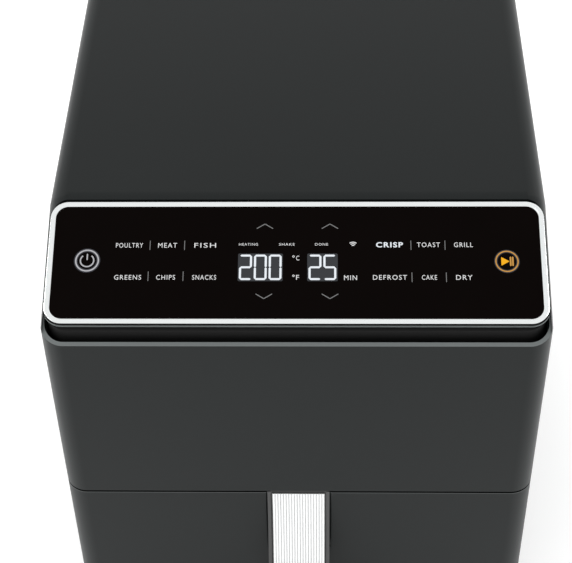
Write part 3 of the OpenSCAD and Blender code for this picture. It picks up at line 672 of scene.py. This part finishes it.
def spun_strip(name, width, depth, round_off):
    """A bar whose section is spun down the handle's curve."""
    deselect()
    bpy.ops.mesh.primitive_plane_add(size=1)
    strip = clear(bpy.context.object, name, rib_metal)
    strip.scale = (width, depth, 1)
    bpy.ops.object.transform_apply(scale=True)
    bpy.ops.object.mode_set(mode="EDIT")
    if round_off:
        pick("verts", lambda v: v.co.y < 0)
        bpy.ops.mesh.bevel(offset=round_off, segments=4, affect="VERTICES")
    bpy.ops.object.mode_set(mode="OBJECT")
    put(strip, Matrix.Translation(on_curve(TOP_ANGLE, depth / 2))
        @ Matrix.Rotation(-TOP_ANGLE, 4, "X"))
    bpy.ops.object.mode_set(mode="EDIT")
    pick("faces", lambda f: True)
    bpy.ops.mesh.spin(steps=36, angle=LOW_ANGLE - TOP_ANGLE, center=CURVE, axis=(1, 0, 0))
    pick("verts", lambda v: True)
    bpy.ops.mesh.remove_doubles(threshold=0.000001)
    bpy.ops.mesh.normals_make_consistent(inside=False)
    bpy.ops.object.mode_set(mode="OBJECT")
    return strip


rib = spun_strip("ribs", width=pitch_x * RIB_SHARE, depth=0.75 * MM, round_off=0.45 * MM)
put(rib, Matrix.Translation((-plate_width / 2 + pitch_x / 2, 0, 0)))
apply_modifier(rib, "ARRAY", count=RIBS, use_relative_offset=False, use_constant_offset=True,
               constant_offset_displace=(pitch_x, 0, 0))
bpy.ops.object.shade_smooth_by_angle(angle=math.radians(50))
done(rib, "drawer", "trim_silver", "handle_trim")
strip = spun_strip("rib_plate", width=plate_width, depth=0.8 * MM, round_off=0)
# The strip's darker metal paints the shade in the grooves.
clear(strip, "rib_plate", groove_metal)
put(strip, Matrix.Translation((0, 0.5 * MM, -0.25 * MM)))
done(strip, "drawer", "trim_silver")
print("ribs end at", [round(v / MM, 1) for v in on_curve(LOW_ANGLE, 0)])

# %% [markdown]
# ## Words and numbers on the panel
# The touch labels are plain words for kinds of food and ways of cooking, in Blender's own
# typeface. They could be painted on with a texture, but letters with real edges stay sharp at
# any distance. Each is a text object with its size and place in millimetres on the glass. It is
# turned into a mesh first and then moved through the panel's matrix, so that its object ends at
# the origin like every other piece. The labels of one finish are joined into one piece, which
# gets the thickness of a coat of ink.

# %% Labels
PRINT_HEIGHT = -0.42 * MM


def on_glass(obj, x, y, turn=0):
    """Puts a flat mesh on the glass, at x and y millimetres from the frame's lower middle."""
    return put(obj, PANEL @ Matrix.Translation((x * MM, y * MM, PRINT_HEIGHT))
               @ Matrix.Rotation(turn, 4, "Z"))


def word(text, left, right, y, height, bold=0.0):
    """A word that fills the space from left to right, in millimetres."""
    deselect()
    bpy.ops.object.text_add()
    label = bpy.context.object
    label.data.body = text
    label.data.size = 10 * MM
    label.data.align_y = "CENTER"
    label.data.resolution_u = 3
    label.data.space_character = 1.2
    label.data.offset = bold * MM
    bpy.ops.object.convert(target="MESH")
    xs = [v.co.x for v in label.data.vertices]
    ys = [v.co.y for v in label.data.vertices]
    center = Vector(((min(xs) + max(xs)) / 2, (min(ys) + max(ys)) / 2, 0))
    scale = ((right - left) * MM / (max(xs) - min(xs)), height * MM / (max(ys) - min(ys)), 1)
    put(label, Matrix.Diagonal((*scale, 1)) @ Matrix.Translation(-center))
    return on_glass(label, (left + right) / 2, y)


def inked(obj, name, material):
    """Gives a flat print the thickness of a coat of ink, so that it is a closed shape."""
    apply_modifier(obj, "SOLIDIFY", thickness=0.02 * MM, offset=0)
    bpy.ops.object.mode_set(mode="EDIT")
    bpy.ops.mesh.select_all(action="SELECT")
    bpy.ops.mesh.normals_make_consistent(inside=False)
    bpy.ops.object.mode_set(mode="OBJECT")
    done(clear(obj, name, material), "body", "display")


def join(parts, name, material):
    """Joins flat prints of one finish into one inked piece."""
    deselect()
    for part in parts:
        part.select_set(True)
    bpy.context.view_layer.objects.active = parts[0]
    bpy.ops.object.join()
    inked(parts[0], name, material)


# Each label's text, its left and right end and its height up the glass, in millimetres
food_labels = [
    ("POULTRY", -105.4, -89.5, 49.5), ("MEAT", -80.7, -69.6, 49.5), ("FISH", -59.5, -46.8, 49.5),
    ("GREENS", -105.4, -89.7, 29.0), ("CHIPS", -81.0, -70.0, 29.0), ("SNACKS", -60.1, -46.2, 29.0)]
mode_labels = [
    ("TOAST", 70.3, 83.7, 49.8), ("GRILL", 91.8, 102.8, 49.8), ("DEFROST", 44.5, 64.1, 29.0),
    ("CAKE", 72.7, 81.4, 29.0), ("DRY", 92.4, 101.8, 29.0), ("MIN", 27.8, 35.3, 28.8)]
labels = [word(*label, 3.0) for label in food_labels + mode_labels]
join(labels, "panel_labels", print_white)
chosen = word("CRISP", 46.5, 62.2, 49.8, 3.4, 0.25)
inked(chosen, "panel_label_chosen", digit_white)
small = [word(text, left, right, 50.1, 1.6) for text, left, right in [
    ("HEATING", -33.4, -22.3), ("SHAKE", -10.0, -0.9), ("DONE", 11.0, 18.6)]]
small += [word("C", 0.0, 1.9, 41.3, 3.0), word("F", 0.1, 1.8, 29.0, 3.0)]
join(small, "panel_small_labels", print_white)

# %% [markdown]
# ## Seven-segment numbers
# One segment is a narrow bar with pointed ends: a small plane is stretched, and each short edge
# is pushed out and drawn together to a point. Blender's typeface has no digits of this kind, so
# they are put together by hand. A digit has seven places for such bars, lettered from a to g,
# and a table says which of them each number lights. A dark grey field lies a hair below the lit
# bars, as the unlit part of the display does.

# %% One segment
def bar(length, width):
    """A flat bar with pointed ends along X, in millimetres, still at the origin."""
    deselect()
    bpy.ops.mesh.primitive_plane_add(size=1)
    obj = bpy.context.object
    obj.scale = ((length - width) * MM, width * MM, 1)
    bpy.ops.object.transform_apply(scale=True)
    bpy.ops.object.mode_set(mode="EDIT")
    for side in (-1, 1):
        pick("edges", lambda e: middle(e).x * side > (length - width) * 0.45 * MM)
        bpy.ops.mesh.extrude_region_move(
            TRANSFORM_OT_translate={"value": (side * width / 2 * MM, 0, 0)})
        bpy.ops.mesh.merge(type="CENTER")
    bpy.ops.object.mode_set(mode="OBJECT")
    return obj


# %% Digits
LIT = {"0": "abcdef", "2": "abged", "5": "afgcd"}
DIGIT_W, DIGIT_H, STROKE = 7.5, 16.2, 1.25
DIGIT_Y = 35.4


def digit(number, x):
    """The lit segments of one digit, its middle x millimetres from the panel's."""
    across, half, side = DIGIT_W - STROKE, DIGIT_H / 2 - STROKE / 2, (DIGIT_W - STROKE) / 2
    places = {"a": (0, half, 0), "g": (0, 0, 0), "d": (0, -half, 0), "b": (side, half / 2, 1),
              "c": (side, -half / 2, 1), "e": (-side, -half / 2, 1), "f": (-side, half / 2, 1)}
    return [on_glass(bar(half if upright else across, STROKE), x + dx, DIGIT_Y + dy,
                     math.pi / 2 * upright)
            for key, (dx, dy, upright) in places.items() if key in LIT[number]]


shown = [("2", -29.3), ("0", -20.7), ("0", -12.1), ("2", 11.0), ("5", 19.6)]
segments = [segment for number, x in shown for segment in digit(number, x)]
join(segments, "digits", digit_white)

# %% The fields behind the numbers
WINDOW_H = 17.6
UNDER_PRINT = 0.04 * MM


def lower(obj):
    """Lowers a print by a hair, so that what is drawn over it shows."""
    put(obj, Matrix.Translation(PANEL.to_3x3() @ Vector((0, 0, -UNDER_PRINT))))


def window(x0, x1, name):
    """The dark grey field behind a number, a hair below the digits."""
    deselect()
    bpy.ops.mesh.primitive_plane_add(size=1)
    field = bpy.context.object
    field.scale = ((x1 - x0) * MM, WINDOW_H * MM, 1)
    bpy.ops.object.transform_apply(scale=True)
    bpy.ops.object.mode_set(mode="EDIT")
    pick("verts", lambda v: True)
    bpy.ops.mesh.bevel(offset=0.8 * MM, segments=3, affect="VERTICES")
    bpy.ops.object.mode_set(mode="OBJECT")
    on_glass(field, (x0 + x1) / 2, DIGIT_Y)
    lower(field)
    inked(field, name, print_dim)


window(-33.7, -7.7, "window_left")
window(6.5, 24.2, "window_right")

# %% [markdown]
# ## Rings, arrows and dividers
# The rest of the print is thin line work. A ring is a circle of edges that is extruded and
# scaled outward, and part of it can be cut away first to leave an arc, which a torus wouldn't
# allow so easily. Arrows, dividers and the bars inside the two round symbols are made with the
# same pointed bar. Each round symbol has a wide dim ring under its bright one, for the soft
# light that leaks round a lit print. The triangle of the start symbol is a circle of three
# vertices with eased corners.

# %% Line work
def arc(x, y, radius, stroke, sweep=360, facing=90):
    """A ring, or the part of it within sweep degrees around a direction."""
    deselect()
    inner = radius - stroke / 2
    bpy.ops.mesh.primitive_circle_add(vertices=64, radius=inner * MM)
    ring = bpy.context.object
    bpy.ops.object.mode_set(mode="EDIT")
    if sweep < 360:
        heading = Vector((math.cos(math.radians(facing)), math.sin(math.radians(facing)), 0))
        pick("verts", lambda v: v.co.angle(heading) > math.radians(sweep / 2))
        bpy.ops.mesh.delete(type="VERT")
    pick("edges", lambda e: True)
    bpy.ops.mesh.extrude_region_move()
    factor = (inner + stroke) / inner
    bpy.ops.transform.resize(value=(factor, factor, 1), center_override=(0, 0, 0))
    bpy.ops.object.mode_set(mode="OBJECT")
    return on_glass(ring, x, y)


def line(x, y, length, width, turn):
    """A pointed bar on the glass, turned by some degrees from the panel's width."""
    return on_glass(bar(length, width), x, y, math.radians(turn))


def arrow(x, y, up):
    """Two thin lines that meet in the middle."""
    lean = -32 if up else 32
    return [line(x - 2.4, y, 5.8, 0.5, -lean), line(x + 2.4, y, 5.8, 0.5, lean)]


print("line work ready")

# %% Dividers, arrows and small marks
dividers = [line(x, y, 6.2, 0.4, 90) for x, y in [
    (-85.4, 49.5), (-65.2, 49.5), (-85.7, 29.7), (-65.4, 29.7),
    (66.8, 49.5), (86.6, 49.5), (67.0, 29.1), (86.8, 29.1)]]
arrows = [part for x in (-18.4, 19.7) for part in arrow(x, 61.8, True) + arrow(x, 17.1, False)]
join(dividers + arrows, "panel_lines", print_faint)

signal = [arc(33.1, 48.4, radius, 0.55, 90) for radius in (1.1, 2.1, 3.1)]
degrees = [arc(x, y, 0.5, 0.35) for x, y in [(-1.5, 42.3), (-1.4, 30.0)]]
join(signal + degrees, "panel_marks", print_white)

# %% The power symbol and the dim rings
POWER = (-121.8, 39.7)
START = (122.1, 39.2)
power = [arc(*POWER, 6.6, 0.85), arc(*POWER, 3.9, 0.8, 290, 270),
         line(POWER[0], POWER[1] + 2.3, 4.2, 0.8, 90)]
join(power, "power_symbol", icon_grey)
halos = [arc(*POWER, 6.6, 2.2), arc(*START, 6.4, 1.9)]
for halo in halos:
    lower(halo)
join(halos, "symbol_halos", halo_grey)

# %% The start symbol
start = [arc(*START, 6.4, 0.75)]
start += [line(START[0] + side, START[1], 6.2, 0.95, 90) for side in (2.1, 3.4)]
join(start, "start_symbol", start_orange)
deselect()
bpy.ops.mesh.primitive_circle_add(vertices=3, radius=3.2 * MM, fill_type="NGON")
bpy.ops.object.mode_set(mode="EDIT")
bpy.ops.mesh.select_all(action="SELECT")
bpy.ops.mesh.bevel(offset=0.4 * MM, segments=2, affect="VERTICES")
bpy.ops.object.mode_set(mode="OBJECT")
triangle = on_glass(bpy.context.object, START[0] - 1.7, START[1], math.radians(-90))
inked(triangle, "start_triangle", start_amber)
